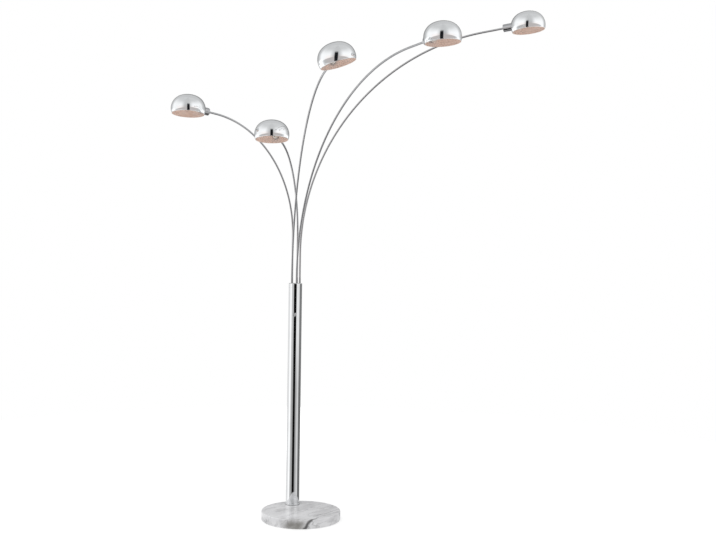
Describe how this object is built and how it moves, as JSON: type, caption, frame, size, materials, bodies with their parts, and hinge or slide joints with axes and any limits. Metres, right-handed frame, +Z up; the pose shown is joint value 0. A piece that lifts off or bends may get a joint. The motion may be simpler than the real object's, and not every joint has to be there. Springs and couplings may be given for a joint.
{
  "type": "floor lamp",
  "caption": "Tree floor lamp: bent tube arms fan out of one upright pole on a round stone base, each ending in a dome shade over a capsule bulb.",
  "frame": {"origin": "centre of the round base, on the floor", "axes": "+Z up along the pole; -Y is the front, where the switch is; the arms fan out to the front and both sides"},
  "size_m": [1.4449, 1.0332, 2.072],
  "materials": {
    "marble": "polished off-white marble with thin grey veins",
    "felt": "dark felt",
    "chrome": "bright polished chrome",
    "chrome_shade": "bright polished chrome outside, satin copper tone inside",
    "steel": "plain zinc-plated steel",
    "black_plastic": "moulded black plastic",
    "insulation": "clear-white sleeve on the leads",
    "rubber": "black rubber",
    "ceramic": "white steatite",
    "glass": "clear capsule glass"
  },
  "bodies": {
    "stand": {"arm_guide_disc": "steel", "base_nut": "steel", "base_pad": "felt", "base_washer": "steel", "cap_screws": "steel", "cord_bushing": "rubber", "foot_collar": "chrome", "marble_base": "marble", "pole_bottom_plug": "steel", "pole_cap": "chrome", "pole_tube": "chrome", "switch_body": "black_plastic", "switch_lead": "insulation", "switch_nut": "chrome", "switch_saddle": "chrome", "terminal_block": "ceramic", "terminal_post": "steel", "tie_rod": "steel"},
    "knob": {"switch_knob": "chrome", "switch_shaft": "steel"},
    "arm_1": {"arm_1_tube": "chrome", "arm_1_collar": "steel", "arm_1_lead": "insulation"},
    "head_1": {"knuckle_1": "chrome", "shade_1": "chrome_shade", "clamp_ring_1": "steel", "lampholder_1": "ceramic", "bulb_1": "glass"},
    "arm_2": {"arm_2_tube": "chrome", "arm_2_collar": "steel", "arm_2_lead": "insulation"},
    "head_2": {"knuckle_2": "chrome", "shade_2": "chrome_shade", "clamp_ring_2": "steel", "lampholder_2": "ceramic", "bulb_2": "glass"},
    "arm_3": {"arm_3_tube": "chrome", "arm_3_collar": "steel", "arm_3_lead": "insulation"},
    "head_3": {"knuckle_3": "chrome", "shade_3": "chrome_shade", "clamp_ring_3": "steel", "lampholder_3": "ceramic", "bulb_3": "glass"},
    "arm_4": {"arm_4_tube": "chrome", "arm_4_collar": "steel", "arm_4_lead": "insulation"},
    "head_4": {"knuckle_4": "chrome", "shade_4": "chrome_shade", "clamp_ring_4": "steel", "lampholder_4": "ceramic", "bulb_4": "glass"},
    "arm_5": {"arm_5_tube": "chrome", "arm_5_collar": "steel", "arm_5_lead": "insulation"},
    "head_5": {"knuckle_5": "chrome", "shade_5": "chrome_shade", "clamp_ring_5": "steel", "lampholder_5": "ceramic", "bulb_5": "glass"}
  },
  "joints": [
    {"name": "switch_turn", "type": "hinge", "parent": "stand", "child": "knob", "pos_m": [-0.042, 0.0699, 0.853], "axis": [0, -1, 0], "continuous": true},
    {"name": "arm_1_swivel", "type": "hinge", "parent": "stand", "child": "arm_1", "pos_m": [-0.05697, 0.11487, 0.985], "axis": [0, 0, 1], "range_deg": [-60, 12]},
    {"name": "shade_1_roll", "type": "hinge", "parent": "arm_1", "child": "head_1", "pos_m": [-0.37648, -0.22776, 1.66849], "axis": [-0.6785, -0.7276, 0.1011], "range_deg": [-39, 31]},
    {"name": "arm_2_swivel", "type": "hinge", "parent": "stand", "child": "arm_2", "pos_m": [-0.03628, 0.12159, 0.985], "axis": [0, 0, 1], "range_deg": [-12, 6]},
    {"name": "shade_2_roll", "type": "hinge", "parent": "arm_2", "child": "head_2", "pos_m": [-0.09861, -0.25087, 1.56667], "axis": [-0.1635, -0.9769, 0.1374], "range_deg": [-37.5, 32.5]},
    {"name": "arm_3_swivel", "type": "hinge", "parent": "stand", "child": "arm_3", "pos_m": [-0.05697, 0.09313, 0.985], "axis": [0, 0, 1], "range_deg": [-5, 8]},
    {"name": "shade_3_roll", "type": "hinge", "parent": "arm_3", "child": "head_3", "pos_m": [0.11732, -0.70622, 1.78827], "axis": [0.212, -0.9724, 0.0976], "range_deg": [-51.5, 18.5]},
    {"name": "arm_4_swivel", "type": "hinge", "parent": "stand", "child": "arm_4", "pos_m": [-0.03628, 0.0864, 0.985], "axis": [0, 0, 1], "range_deg": [-8, 12]},
    {"name": "shade_4_roll", "type": "hinge", "parent": "arm_4", "child": "head_4", "pos_m": [0.44938, -0.66145, 1.87904], "axis": [0.5428, -0.8359, 0.0819], "range_deg": [-37.5, 32.5]},
    {"name": "arm_5_swivel", "type": "hinge", "parent": "stand", "child": "arm_5", "pos_m": [-0.0235, 0.104, 0.985], "axis": [0, 0, 1], "range_deg": [-15, 60]},
    {"name": "shade_5_roll", "type": "hinge", "parent": "arm_5", "child": "head_5", "pos_m": [0.77847, -0.23972, 2.01068], "axis": [0.9119, -0.3908, 0.1253], "range_deg": [-35, 35]}
  ]
}
